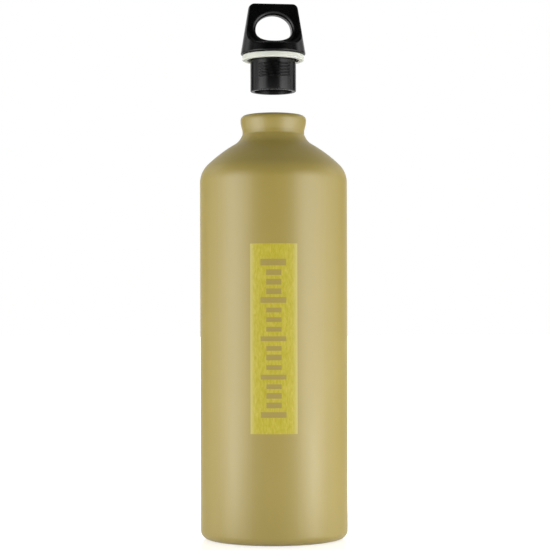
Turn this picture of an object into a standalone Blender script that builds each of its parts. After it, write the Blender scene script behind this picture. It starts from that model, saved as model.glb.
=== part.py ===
"""An aluminium bottle with its screw stopper lifted off, held above the neck.

The bottle stands on the origin with +Z up its axis, and its front faces -Y.
Four pieces: the drawn shell, the threaded ring held in its neck, the stopper and the stopper's seal.
Lengths are in metres.
"""

import math

import bmesh
import bpy
from mathutils import Matrix, Vector

MM = 0.001

# Shell
BODY_RADIUS = 40.0 * MM
BOTTLE_HEIGHT = 229.8 * MM
WALL = 1.0 * MM
BASE_BEND = 3.4 * MM
FOOT_WIDTH = 3.0 * MM
FOOT_BEND = 2.0 * MM
DOME_ANGLE = math.radians(20.0)
SHOULDER_ROUND = 13.5 * MM
SHOULDER_LOW_ANGLE = math.radians(45.8)
SHOULDER_HIGH_ANGLE = math.radians(59.9)
NECK_SWEEP = 9.3 * MM
NECK_CONE_ANGLE = math.radians(27.0)
NECK_CONE_LENGTH = 1.45 * MM
WAIST_SWEEP = 1.5 * MM
WAIST_HEIGHT = 1.4 * MM

# Rolled lip
LIP_OVERHANG = 1.05 * MM
LIP_FLARE_ANGLE = math.radians(15.0)
LIP_BARREL = 13.0 * MM
LIP_SWEEP = 3.0 * MM
LIP_OUTER_BEND = 1.65 * MM
LIP_INNER_BEND = 0.5 * MM
CROWN_FLAT = 0.1 * MM
LIP_LEG = 0.9 * MM

# Screw thread, right-handed, shared by the stopper and the ring in the neck
THREAD_PITCH = 1.6 * MM
THREAD_DEPTH = 0.75 * MM
THREAD_CREST = 0.3 * MM
THREAD_FLANK_ANGLE = math.radians(30.0)
THREAD_ZONE = 8.0 * MM
THREAD_RADIAL_PLAY = 0.3 * MM
THREAD_AXIAL_PLAY = 0.18 * MM
THREAD_SECTOR = math.radians(46.0)
THREAD_SINK = 0.3 * MM
RUN_OUT_SHARE = 0.1

# Stopper
PLUG_RADIUS = 12.45 * MM
PLUG_WALL = 2.15 * MM
PLUG_LENGTH = 20.2 * MM
PLUG_FLOOR = 3.0 * MM
PLUG_CHAMFER = 0.6 * MM
NECK_BELOW_FLANGE = 5.0 * MM
MOUTH_PLAY = 0.4 * MM
GRIP_HEIGHT = 27.5 * MM
GRIP_TAPER = math.radians(9.5)
GRIP_CORNER = 3.0 * MM
FLANGE_MARGIN = 0.95 * MM
FLANGE_EDGE = 0.5 * MM
SHELF_HEIGHT = 4.7 * MM
BLADE_TOP_THICKNESS = 6.0 * MM
BLADE_FOOT_THICKNESS = 11.8 * MM
SCOOP_FLAT_SHARE = 0.46
SCOOP_CORNER = 7.0 * MM
SCOOP_SIDE_ANGLE = math.radians(60.0)
SCOOP_COVE = 2.5 * MM
LOOP_TOP_BAR = 6.2 * MM
LOOP_SIDE_BAR = 5.7 * MM
LOOP_SILL = 2.6 * MM
LOOP_EDGE_ROUND = 2.2 * MM
LOOP_WIDEST_SHARE = 0.4
LOOP_BOTTOM_POWER = 2.5
STOPPER_YAW = math.radians(7.0)

# Seal
SEAL_SLIP = 0.65 * MM
SEAL_WIDTH = 2.95 * MM
SEAL_HEIGHT = 3.0 * MM
SEAL_EDGE = 0.5 * MM

# Fits and places
FIT_GAP = 0.3 * MM
REST_TURNS = 18.5
INSERT_TAIL = 1.0 * MM
INSERT_CHAMFER = 0.4 * MM
CUT_OVERRUN = 2.0 * MM

# Fineness of the round shapes
TURN_SEGMENTS = 48
ARC_SAG = 0.1 * MM
THREAD_STEPS_PER_TURN = 30
LOOP_POINTS = 40
ROUND_STEPS = 3
CORNER_STEPS = 4
WELD = 0.001 * MM
SMOOTH_ANGLE = math.radians(35.0)

THREAD_CREST_RADIUS = PLUG_RADIUS + THREAD_DEPTH
INSERT_BORE = THREAD_CREST_RADIUS + THREAD_RADIAL_PLAY
MOUTH_RADIUS = THREAD_CREST_RADIUS + MOUTH_PLAY
LIP_RADIUS = MOUTH_RADIUS + WALL + LIP_INNER_BEND + CROWN_FLAT + WALL + LIP_OUTER_BEND
WAIST_RADIUS = LIP_RADIUS - LIP_OVERHANG
SEAL_BORE = THREAD_CREST_RADIUS + SEAL_SLIP
SEAL_RADIUS = SEAL_BORE + SEAL_WIDTH
GRIP_RADIUS = SEAL_RADIUS + FLANGE_MARGIN
LIFT = REST_TURNS * THREAD_PITCH
SEAL_REST_HEIGHT = BOTTLE_HEIGHT + FIT_GAP + LIFT
FLANGE_REST_HEIGHT = SEAL_REST_HEIGHT + SEAL_HEIGHT + FIT_GAP


class Outline:
    """A path in the (radius, height) half plane, drawn with a pen that has a heading.

    The metal lies to the right of the pen, so a bend to the right wraps round the metal.
    """

    def __init__(self, radius, height, heading):
        self.pen = Vector((radius, height))
        self.heading = heading
        self.points = [self.pen.copy()]
        self.outward = [self.left()]
        self.marks = {}

    def left(self):
        return Vector((-math.sin(self.heading), math.cos(self.heading)))

    def mark(self, name):
        self.marks[name] = len(self.points) - 1

    def drop(self):
        self.points.append(self.pen.copy())
        self.outward.append(self.left())

    def run(self, length):
        self.pen += length * Vector((math.cos(self.heading), math.sin(self.heading)))
        self.drop()

    def bend(self, radius, angle):
        """Follow an arc, to the left for a positive angle and to the right for a negative one."""
        side = math.copysign(1, angle)
        centre = self.pen + side * radius * self.left()
        step = 2 * math.acos(radius / (radius + ARC_SAG))
        steps = max(1, math.ceil(abs(angle) / step))
        for _ in range(steps):
            self.heading += angle / steps
            self.pen = centre - side * radius * self.left()
            self.drop()

    def inside(self, depth, first=None, last=None):
        """The points between two marks, moved into the metal by a depth."""
        start = self.marks[first] if first else 0
        end = self.marks[last] + 1 if last else len(self.points)
        pairs = zip(self.points[start:end], self.outward[start:end])
        return [point - depth * outward for point, outward in pairs]


def clear_scene():
    for old in list(bpy.data.objects):
        bpy.data.objects.remove(old, do_unlink=True)


def finish(name, colour, roughness, metallic):
    material = bpy.data.materials.new(name)
    material.use_nodes = True
    shader = material.node_tree.nodes["Principled BSDF"]
    shader.inputs["Base Color"].default_value = (*colour, 1.0)
    shader.inputs["Roughness"].default_value = roughness
    shader.inputs["Metallic"].default_value = metallic
    return material


def add_object(name, bm, material=None, parent=None):
    """Turn a bmesh into an object, facing out and shaded smooth on its round parts."""
    bmesh.ops.recalc_face_normals(bm, faces=bm.faces)
    if bm.calc_volume(signed=True) < 0:
        bmesh.ops.reverse_faces(bm, faces=bm.faces)
    mesh = bpy.data.meshes.new(name)
    bm.to_mesh(mesh)
    bm.free()
    mesh.shade_smooth()
    mesh.set_sharp_from_angle(angle=SMOOTH_ANGLE)
    obj = bpy.data.objects.new(name, mesh)
    bpy.context.scene.collection.objects.link(obj)
    if material:
        mesh.materials.append(material)
    obj.parent = parent
    return obj


def add_empty(name, location, turn=0.0):
    empty = bpy.data.objects.new(name, None)
    empty.location = location
    empty.rotation_euler = (0.0, 0.0, turn)
    bpy.context.scene.collection.objects.link(empty)
    return empty


def turned(name, outline, material, parent=None):
    """Spin a closed outline of (radius, height) points round the Z axis."""
    bm = bmesh.new()
    verts = [bm.verts.new((point[0], 0.0, point[1])) for point in outline]
    on_axis = outline[0][0] < WELD and outline[-1][0] < WELD
    pairs = list(zip(verts, verts[1:]))
    if not on_axis:
        pairs.append((verts[-1], verts[0]))
    edges = [bm.edges.new(pair) for pair in pairs]
    bmesh.ops.spin(
        bm,
        geom=verts + edges,
        axis=(0.0, 0.0, 1.0),
        cent=(0.0, 0.0, 0.0),
        steps=TURN_SEGMENTS,
        angle=2 * math.pi,
        use_duplicate=False,
    )
    bmesh.ops.remove_doubles(bm, verts=bm.verts, dist=WELD)
    return add_object(name, bm, material, parent)


def add_loft(bm, rings):
    """Skin a row of closed rings of equal length and fill both ends."""
    rows = [[bm.verts.new(point) for point in ring] for ring in rings]
    for row, following in zip(rows, rows[1:]):
        for i in range(len(row)):
            j = (i + 1) % len(row)
            bm.faces.new((row[i], row[j], following[j], following[i]))
    bm.faces.new(reversed(rows[0]))
    bm.faces.new(rows[-1])


def loft_object(name, lofts, parent):
    """One helper object out of one or more lofts, which a Boolean reads."""
    bm = bmesh.new()
    for rings in lofts:
        add_loft(bm, rings)
    tool = add_object(name, bm, parent=parent)
    tool.hide_render = True
    tool.display_type = "WIRE"
    return tool


def combine(obj, tool, operation):
    modifier = obj.modifiers.new(tool.name, "BOOLEAN")
    modifier.operation = operation
    modifier.solver = "EXACT"
    modifier.object = tool


def shell_outline():
    """The outer skin of the shell, from the end of the rolled lip to the middle of the base."""
    quarter = math.pi / 2
    inner_bend = LIP_INNER_BEND + WALL
    path = Outline(MOUTH_RADIUS, BOTTLE_HEIGHT - inner_bend - LIP_LEG, quarter)
    path.run(LIP_LEG)
    path.bend(inner_bend, -quarter)
    path.mark("crown")
    path.run(CROWN_FLAT)
    path.bend(LIP_OUTER_BEND + WALL, -quarter)
    path.bend(LIP_BARREL, -LIP_FLARE_ANGLE)
    rounds = (LIP_BARREL + LIP_SWEEP) * (1 - math.cos(LIP_FLARE_ANGLE))
    path.run((LIP_OVERHANG - rounds) / math.sin(LIP_FLARE_ANGLE))
    path.bend(LIP_SWEEP, LIP_FLARE_ANGLE)
    path.run(WAIST_HEIGHT)
    path.mark("waist")
    path.bend(WAIST_SWEEP, NECK_CONE_ANGLE)
    path.run(NECK_CONE_LENGTH)
    path.bend(NECK_SWEEP, SHOULDER_HIGH_ANGLE - NECK_CONE_ANGLE)
    shoulder_reach = SHOULDER_ROUND * (1 - math.cos(SHOULDER_LOW_ANGLE))
    crowned = BODY_RADIUS - shoulder_reach - path.pen.x
    crown_radius = crowned / (math.cos(SHOULDER_LOW_ANGLE) - math.cos(SHOULDER_HIGH_ANGLE))
    path.bend(crown_radius, SHOULDER_LOW_ANGLE - SHOULDER_HIGH_ANGLE)
    path.bend(SHOULDER_ROUND, -SHOULDER_LOW_ANGLE)
    path.run(path.pen.y - BASE_BEND - WALL)
    path.bend(BASE_BEND + WALL, -quarter)
    path.run(FOOT_WIDTH)
    path.bend(FOOT_BEND + WALL, -DOME_ANGLE)
    path.bend(path.pen.x / math.sin(DOME_ANGLE), DOME_ANGLE)
    path.points[-1].x = 0.0
    return path


def build_shell(material):
    path = shell_outline()
    return turned("bottle_shell", path.points + path.inside(WALL)[::-1], material)


def helix_height(angle, origin):
    """Height of the male thread's middle at an angle, for a thread that passes through origin."""
    return origin + THREAD_PITCH * angle / (2 * math.pi)


def thread_ring(angle, height, root, crest, root_half, crest_half):
    """One upright section across a thread ridge."""
    outward = Vector((math.cos(angle), math.sin(angle), 0.0))
    up = Vector((0.0, 0.0, 1.0))
    corners = ((root, -root_half), (crest, -crest_half), (crest, crest_half), (root, root_half))
    return [radius * outward + (height + rise) * up for radius, rise in corners]


def ridge(start, end, origin, root, crest, root_half, crest_half):
    """A ridge along the helix between two angles, which runs out into its wall at both ends."""
    steps = max(3, math.ceil((end - start) * THREAD_STEPS_PER_TURN / (2 * math.pi)))
    rings = []
    for i in range(steps + 1):
        angle = start + (end - start) * i / steps
        at_end = i in (0, steps)
        top = root + (crest - root) * RUN_OUT_SHARE if at_end else crest
        rings.append(
            thread_ring(angle, helix_height(angle, origin), root, top, root_half, crest_half)
        )
    return rings


def flank_run(depth):
    return depth * math.tan(THREAD_FLANK_ANGLE)


def male_thread():
    """The stopper's ridges, in its own frame: front and back sectors, clear of the parting line."""
    origin = -(NECK_BELOW_FLANGE + THREAD_PITCH / 2)
    crest_half = THREAD_CREST / 2
    root_half = crest_half + flank_run(THREAD_DEPTH + THREAD_SINK)
    turns = round(THREAD_ZONE / THREAD_PITCH)
    lofts = []
    for middle in (-math.pi / 2, math.pi / 2):
        for turn in range(turns):
            centre = middle - 2 * math.pi * turn
            lofts.append(
                ridge(
                    centre - THREAD_SECTOR,
                    centre + THREAD_SECTOR,
                    origin,
                    PLUG_RADIUS - THREAD_SINK,
                    THREAD_CREST_RADIUS,
                    root_half,
                    crest_half,
                )
            )
    return lofts


def build_insert(material):
    """The threaded ring, trapped between the waist of the neck and the rolled lip."""
    path = shell_outline()
    outer = path.inside(WALL + FIT_GAP, "crown", "waist")
    leg_end = BOTTLE_HEIGHT - LIP_INNER_BEND - WALL - LIP_LEG - FIT_GAP
    hook = MOUTH_RADIUS + WALL + FIT_GAP
    top_corner = outer[0].y - (outer[0].x - hook)
    bottom = outer[-1].y - INSERT_TAIL
    inner = [
        Vector((outer[-1].x, bottom)),
        Vector((INSERT_BORE + INSERT_CHAMFER, bottom)),
        Vector((INSERT_BORE, bottom + INSERT_CHAMFER)),
        Vector((INSERT_BORE, leg_end - INSERT_CHAMFER)),
        Vector((INSERT_BORE + INSERT_CHAMFER, leg_end)),
        Vector((hook, leg_end)),
        Vector((hook, top_corner)),
    ]
    insert = turned("thread_insert", outer + inner, material)

    male_origin = FLANGE_REST_HEIGHT - NECK_BELOW_FLANGE - THREAD_PITCH / 2
    origin = helix_height(-STOPPER_YAW, male_origin) + THREAD_PITCH / 2
    crest = PLUG_RADIUS + THREAD_RADIAL_PLAY
    male_half = THREAD_CREST / 2 + flank_run(THREAD_CREST_RADIUS - crest)
    crest_half = THREAD_PITCH / 2 - male_half - THREAD_AXIAL_PLAY
    root_half = crest_half + flank_run(INSERT_BORE + THREAD_SINK - crest)
    low = bottom + INSERT_CHAMFER + root_half
    high = leg_end - INSERT_CHAMFER - root_half
    start, end = (2 * math.pi * (height - origin) / THREAD_PITCH for height in (low, high))
    rings = ridge(start, end, origin, INSERT_BORE + THREAD_SINK, crest, root_half, crest_half)
    combine(insert, loft_object("insert_thread_ridge", [rings], None), "UNION")
    return insert


def grip_radius(height):
    return GRIP_RADIUS - height * math.tan(GRIP_TAPER)


def blade_half(height):
    """Half the loop's thickness at a height above the flange's underside."""
    share = (height - SHELF_HEIGHT) / (GRIP_HEIGHT - SHELF_HEIGHT)
    return (BLADE_FOOT_THICKNESS + share * (BLADE_TOP_THICKNESS - BLADE_FOOT_THICKNESS)) / 2


def grip_outline():
    """Outline of the stopper before its loop is cut, from the top of the axis to the roof of the bore."""
    corner_angle = math.pi / 2 - GRIP_TAPER
    corner_reach = GRIP_CORNER * math.tan(corner_angle / 2)
    path = Outline(0.0, GRIP_HEIGHT, 0.0)
    path.run(grip_radius(GRIP_HEIGHT) - corner_reach)
    path.bend(GRIP_CORNER, -corner_angle)
    path.run((GRIP_HEIGHT - FLANGE_EDGE) / math.cos(GRIP_TAPER) - corner_reach)
    bore = PLUG_RADIUS - PLUG_WALL
    rest = [
        Vector((GRIP_RADIUS - FLANGE_EDGE, 0.0)),
        Vector((PLUG_RADIUS, 0.0)),
        Vector((PLUG_RADIUS, PLUG_CHAMFER - PLUG_LENGTH)),
        Vector((PLUG_RADIUS - PLUG_CHAMFER, -PLUG_LENGTH)),
        Vector((bore, -PLUG_LENGTH)),
        Vector((bore, -PLUG_FLOOR)),
        Vector((0.0, -PLUG_FLOOR)),
    ]
    return path.points + rest


def scoop_ring(inset, depth, front):
    """The scoop's front view, drawn in by inset, at a depth off the loop's face."""
    flat = SCOOP_FLAT_SHARE * GRIP_RADIUS
    corner = SCOOP_CORNER - inset
    half = []
    for i in range(CORNER_STEPS + 1):
        angle = SCOOP_SIDE_ANGLE * i / CORNER_STEPS
        across = flat + corner * math.sin(angle)
        half.append((across, SHELF_HEIGHT + SCOOP_CORNER - corner * math.cos(angle)))
    top = GRIP_HEIGHT + CUT_OVERRUN
    reach = half[-1][0] + (top - half[-1][1]) / math.tan(SCOOP_SIDE_ANGLE)
    half.append((reach, top))
    outline = half + [(-x, z) for x, z in reversed(half)]
    return [(x, front * (blade_half(z) + depth), z) for x, z in outline]


def scoop(front):
    """The hollow in front of the loop, or behind it: a shelf, a cove and the loop's leaning face."""
    rings = []
    for i in range(ROUND_STEPS + 1):
        angle = math.pi / 2 * i / ROUND_STEPS
        rings.append(
            scoop_ring(SCOOP_COVE * (1 - math.sin(angle)), SCOOP_COVE * (1 - math.cos(angle)), front)
        )
    rings.append(scoop_ring(0.0, GRIP_RADIUS + CUT_OVERRUN, front))
    return rings


def loop_point(angle, spread):
    """A point of the finger hole's outline, moved out by spread."""
    top = GRIP_HEIGHT - LOOP_TOP_BAR
    bottom = SHELF_HEIGHT + LOOP_SILL
    widest = bottom + LOOP_WIDEST_SHARE * (top - bottom)
    half_width = grip_radius(widest) - LOOP_SIDE_BAR + spread
    across, up = math.cos(angle), math.sin(angle)
    if up >= 0:
        return half_width * across, widest + (top - widest + spread) * up
    power = 2 / LOOP_BOTTOM_POWER
    x = half_width * math.copysign(abs(across) ** power, across)
    return x, widest - (widest - bottom + spread) * abs(up) ** power


def loop_ring(spread, place):
    """The hole's outline as a ring; place gives its distance off the middle plane at each height."""
    points = [loop_point(2 * math.pi * i / LOOP_POINTS, spread) for i in range(LOOP_POINTS)]
    return [(x, place(z), z) for x, z in points]


def loop_hole():
    """The finger hole, with rounded edges on both faces of the loop."""
    edge = LOOP_EDGE_ROUND
    back = []
    for i in range(ROUND_STEPS + 1):
        angle = math.pi / 2 * i / ROUND_STEPS
        sunk = edge * (1 - math.sin(angle))
        back.append(
            loop_ring(edge * (1 - math.cos(angle)), lambda z, sunk=sunk: blade_half(z) - sunk)
        )
    back.append(loop_ring(edge + CUT_OVERRUN, lambda z: blade_half(z) + CUT_OVERRUN))
    front = [[(x, -y, z) for x, y, z in ring] for ring in reversed(back)]
    return front + back


def build_cap(material, place):
    cap = turned("cap", grip_outline(), material, place)
    for name, front in (("scoop_front", -1), ("scoop_back", 1)):
        combine(cap, loft_object(name, [scoop(front)], place), "DIFFERENCE")
    combine(cap, loft_object("loop_hole", [loop_hole()], place), "DIFFERENCE")
    combine(cap, loft_object("plug_thread_ridges", male_thread(), place), "UNION")
    return cap


def build_seal(material, place):
    """The elastic washer under the flange, its edges broken."""
    outline = []
    for radius, side in ((SEAL_RADIUS, -1), (SEAL_BORE, 1)):
        inner = radius + side * SEAL_EDGE
        heights = (SEAL_HEIGHT, SEAL_HEIGHT - SEAL_EDGE, SEAL_EDGE, 0.0)
        corner = [Vector((inner, heights[0])), Vector((radius, heights[1]))]
        corner += [Vector((radius, heights[2])), Vector((inner, heights[3]))]
        outline += corner if side < 0 else corner[::-1]
    return turned("seal_ring", outline, material, place)


def main():
    clear_scene()
    paint = finish("olive_gold_powder_coat", (0.36, 0.29, 0.13), 0.45, 0.0)
    bare_metal = finish("turned_aluminium", (0.75, 0.75, 0.76), 0.3, 1.0)
    black_plastic = finish("black_polypropylene", (0.012, 0.012, 0.013), 0.35, 0.0)
    silicone = finish("off_white_silicone", (0.7, 0.71, 0.62), 0.5, 0.0)
    build_shell(paint)
    build_insert(bare_metal)
    seal_place = add_empty("seal_lift_axis", (0.0, 0.0, SEAL_REST_HEIGHT))
    build_seal(silicone, seal_place)
    cap_place = add_empty("stopper_turn_axis", (0.0, 0.0, FLANGE_REST_HEIGHT), STOPPER_YAW)
    build_cap(black_plastic, cap_place)


main()
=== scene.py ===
"""The finished look of a drawn aluminium drinking bottle, with its screw stopper lifted off the neck.

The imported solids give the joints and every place, and each solid has a finely modelled piece here
that stands for it. The turned pieces are spun by one Geometry Nodes tree, which also raises the
screw threads. The stopper's grip is the surface of a distance function, so that its hollows, its
finger hole and its edges run into each other in true roundings.

Lengths are in metres. The bottle stands on the origin, with +Z up its axis and its front to -Y.
"""

import itertools
import logging
import math
from dataclasses import dataclass
from enum import Enum
from typing import Any, Callable

import bpy
import numpy as np
from mathutils import Matrix, Vector


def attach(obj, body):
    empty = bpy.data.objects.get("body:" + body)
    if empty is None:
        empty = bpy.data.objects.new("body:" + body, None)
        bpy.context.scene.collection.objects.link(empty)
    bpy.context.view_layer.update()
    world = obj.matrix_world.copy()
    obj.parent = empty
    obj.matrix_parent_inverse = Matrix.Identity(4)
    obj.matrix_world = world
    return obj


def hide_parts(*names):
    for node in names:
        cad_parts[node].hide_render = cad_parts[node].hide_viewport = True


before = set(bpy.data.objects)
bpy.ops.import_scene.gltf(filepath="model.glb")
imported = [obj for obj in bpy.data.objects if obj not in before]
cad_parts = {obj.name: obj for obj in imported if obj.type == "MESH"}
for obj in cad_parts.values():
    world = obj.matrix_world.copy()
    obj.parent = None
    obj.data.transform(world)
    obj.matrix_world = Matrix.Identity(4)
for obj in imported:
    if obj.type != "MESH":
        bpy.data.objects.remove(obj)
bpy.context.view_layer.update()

MM = 0.001
QUARTER = math.pi / 2
FULL_TURN = 2 * math.pi
WELD = 0.001 * MM
CREASE_ANGLE = math.radians(40.0)
NOISE_SPAN = (0.3, 0.7)

Material = bpy.types.Material
Socket = bpy.types.NodeSocket
Span = tuple[float, float]

log = logging.getLogger("bottle")


class Body(Enum):
    """The rigid bodies that a piece can ride on."""

    BOTTLE = "bottle"
    SEAL = "seal"
    STOPPER = "cap"


class Flank(Enum):
    """How the sides of a screw thread are made."""

    MOULDED = "SMOOTHSTEP"
    TURNED = "LINEAR"


def linear(hex_colour: str) -> tuple[float, float, float, float]:
    """Turn an sRGB colour such as "#A6904E" into linear red, green and blue, with an alpha of 1."""
    channels = [int(hex_colour[i : i + 2], 16) / 255 for i in (1, 3, 5)]
    return (*[c / 12.92 if c <= 0.04045 else ((c + 0.055) / 1.055) ** 2.4 for c in channels], 1.0)


def add_object(name: str, data: bpy.types.ID) -> bpy.types.Object:
    """Put a mesh, a light or a camera into the scene as an object at the origin.

    Args:
        name: The object's name.
        data: What it shows or gives.

    Returns:
        The new object.
    """
    obj = bpy.data.objects.new(name, data)
    bpy.context.scene.collection.objects.link(obj)
    return obj


def hand_over(obj: bpy.types.Object, body: Body, nodes: tuple[str, ...]) -> None:
    """Make a finished piece ride on its body and stand for its solids.

    Args:
        obj: The piece.
        body: The body that carries it.
        nodes: The solids that it stands for, or none.
    """
    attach(obj, body.value)
    if nodes:
        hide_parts(*nodes)
    log.info("%s: %d faces on %s", obj.name, len(obj.data.polygons), body.value)


class Nodes:
    """A node tree that is being built."""

    def __init__(self, tree: bpy.types.NodeTree) -> None:
        """Take up a tree."""
        self.tree = tree

    def fill(self, node: bpy.types.Node, inputs: Any) -> None:
        """Fill a node's inputs.

        Args:
            node: The node.
            inputs: Values for the first inputs in order, or a dict from an input's name or index to its
                value. A socket is linked, and None leaves the input as it is.
        """
        for key, value in inputs.items() if isinstance(inputs, dict) else enumerate(inputs):
            if isinstance(value, Socket):
                self.tree.links.new(value, node.inputs[key])
            elif value is not None:
                node.inputs[key].default_value = value

    def node(self, kind: str, inputs: Any = (), **settings: Any) -> bpy.types.Node:
        """Add a node.

        Args:
            kind: The node's type.
            inputs: Its inputs, as fill takes them.
            settings: The node's own properties.

        Returns:
            The new node.
        """
        node = self.tree.nodes.new(kind)
        for name, value in settings.items():
            setattr(node, name, value)
        self.fill(node, inputs)
        return node

    def add(self, kind: str, inputs: Any = (), output: int | str = 0, **settings: Any) -> Socket:
        """Add a node in the same way, and give one of its outputs."""
        return self.node(kind, inputs, **settings).outputs[output]

    def math(self, operation: str, *values: Any) -> Socket:
        """Join values with one arithmetic step."""
        return self.add("ShaderNodeMath", values, operation=operation)

    def ramp(self, value: Any, span: tuple, ends: Span = (0.0, 1.0), curve: str = "LINEAR") -> Socket:
        """Go from the first end to the second while a value crosses a span."""
        return self.add("ShaderNodeMapRange", (value, *span, *ends), interpolation_type=curve)

    def eased(self, value: Any, span: tuple, ends: Span = (0.0, 1.0)) -> Socket:
        """Do the same with a soft start and a soft end."""
        return self.ramp(value, span, ends, "SMOOTHSTEP")

    def seen(self, mirrored: Socket) -> Socket:
        """Give 1 to the camera, a share in what gloss and glass show, and 0 to all other light.

        Args:
            mirrored: The share of it that gloss and glass show.

        Returns:
            The socket with the share for the ray in hand.
        """
        path = self.node("ShaderNodeLightPath").outputs
        bent = self.math("MAXIMUM", path["Is Glossy Ray"], path["Is Transmission Ray"])
        return self.math("MAXIMUM", self.math("MULTIPLY", bent, mirrored), path["Is Camera Ray"])


class Finish(Nodes):
    """A material that is being built round its Principled shader."""

    def __init__(self, name: str) -> None:
        """Start the material.

        Args:
            name: The material's name.
        """
        self.material = bpy.data.materials.new(name)
        self.material.use_nodes = True
        super().__init__(self.material.node_tree)
        self.shader = self.tree.nodes["Principled BSDF"]
        self.where = self.add("ShaderNodeTexCoord", (), "Object")

    def noise(self, size: float, detail: float, output: str = "Fac", **more: Any) -> Socket:
        """Add a noise, whose coarsest pattern has the size and holds as many finer ones as the detail."""
        inputs = {"Vector": self.where, "Scale": 1 / size, "Detail": detail, **more}
        return self.add("ShaderNodeTexNoise", inputs, output)

    def stretched(self, where: Socket, times: float) -> Socket:
        """Give the place that draws a pattern out along the height."""
        return self.add("ShaderNodeMapping", {"Vector": where, "Scale": (1.0, 1.0, 1 / times)})

    def mix(self, share: Socket, first: Any, second: Any) -> Socket:
        """Go from the first colour to the second. A Mix node has them at 6 and 7, and gives output 2."""
        return self.add("ShaderNodeMix", {0: share, 6: first, 7: second}, 2, data_type="RGBA")

    def bump(self, height: Socket, distance: float, normal: Socket | None = None) -> Socket:
        """Raise a relief, on another one if that is given."""
        inputs = {"Height": height, "Strength": 1.0, "Distance": distance, "Normal": normal}
        return self.add("ShaderNodeBump", inputs)

    def uneven(self, level: Socket, value: float, less: float, more: float) -> Socket:
        """Give a value that a noise takes down by less at its low places and up by more at its high ones."""
        return self.ramp(level, NOISE_SPAN, (value - less, value + more))

    def dress(self, inputs: dict[str, Any]) -> Material:
        """Fill the shader's inputs and give the material."""
        self.fill(self.shader, inputs)
        return self.material


@dataclass(frozen=True)
class PowderCoat:
    """Polyester powder coat, sprayed dry on the aluminium and baked.

    It flows out to a satin skin with a faint orange peel, so highlights are broad and soft, and its
    fine grain keeps them from looking like gloss paint. The foot ring is rubbed down to the metal.
    """

    colour: str = "#9F8D44"
    deep_colour: str = "#99873E"
    metal: str = "#C9C8C6"
    sheen: float = 0.75
    roughness: float = 0.42
    unevenness: float = 0.03
    peel: float = 2.2 * MM
    grain: float = 0.35 * MM
    cloud: float = 40.0 * MM
    peel_height: float = 0.006 * MM
    grain_height: float = 0.003 * MM
    rub_height: float = 0.35 * MM
    rub_span: Span = (0.42, 0.5)
    scratch: float = 1.2 * MM

    def make(self) -> Material:
        """Build the material.

        Returns:
            The material.
        """
        finish = Finish("satin_powder_coat")
        cloud = finish.noise(self.cloud, detail=3.0)
        paint = finish.mix(cloud, linear(self.deep_colour), linear(self.colour))
        height = finish.add("ShaderNodeSeparateXYZ", (finish.where,), "Z")
        low = finish.ramp(height, (0.0, self.rub_height), (1.0, 0.0))
        rubbed = finish.math("MULTIPLY", low, finish.noise(self.scratch, detail=6.0))
        bare = finish.ramp(rubbed, self.rub_span)
        grain = finish.noise(self.grain, detail=2.0)
        waves = finish.bump(finish.noise(self.peel, detail=1.0), self.peel_height)
        inputs = {
            "Specular IOR Level": self.sheen,
            "Base Color": finish.mix(bare, paint, linear(self.metal)),
            "Metallic": bare,
            "Roughness": finish.uneven(grain, self.roughness, self.unevenness, self.unevenness),
            "Normal": finish.bump(grain, self.grain_height, waves),
        }
        return finish.dress(inputs)


@dataclass(frozen=True)
class Lacquer:
    """Baked epoxy lacquer inside the bottle, a thin clear amber film over the drawn metal.

    The metal shows through it as a warm, half-matt shine with faint drawing lines down the wall.
    """

    colour: str = "#C9B486"
    metallic: float = 0.75
    roughness: float = 0.38
    line: float = 0.6 * MM
    line_stretch: float = 50.0
    line_height: float = 0.004 * MM

    def make(self) -> Material:
        """Build the material.

        Returns:
            The material.
        """
        finish = Finish("amber_epoxy_lacquer")
        drawn = finish.stretched(finish.where, self.line_stretch)
        lines = finish.noise(self.line, detail=2.0, Vector=drawn)
        inputs = {
            "Base Color": linear(self.colour),
            "Metallic": self.metallic,
            "Roughness": self.roughness,
            "Normal": finish.bump(lines, self.line_height),
        }
        return finish.dress(inputs)


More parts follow.
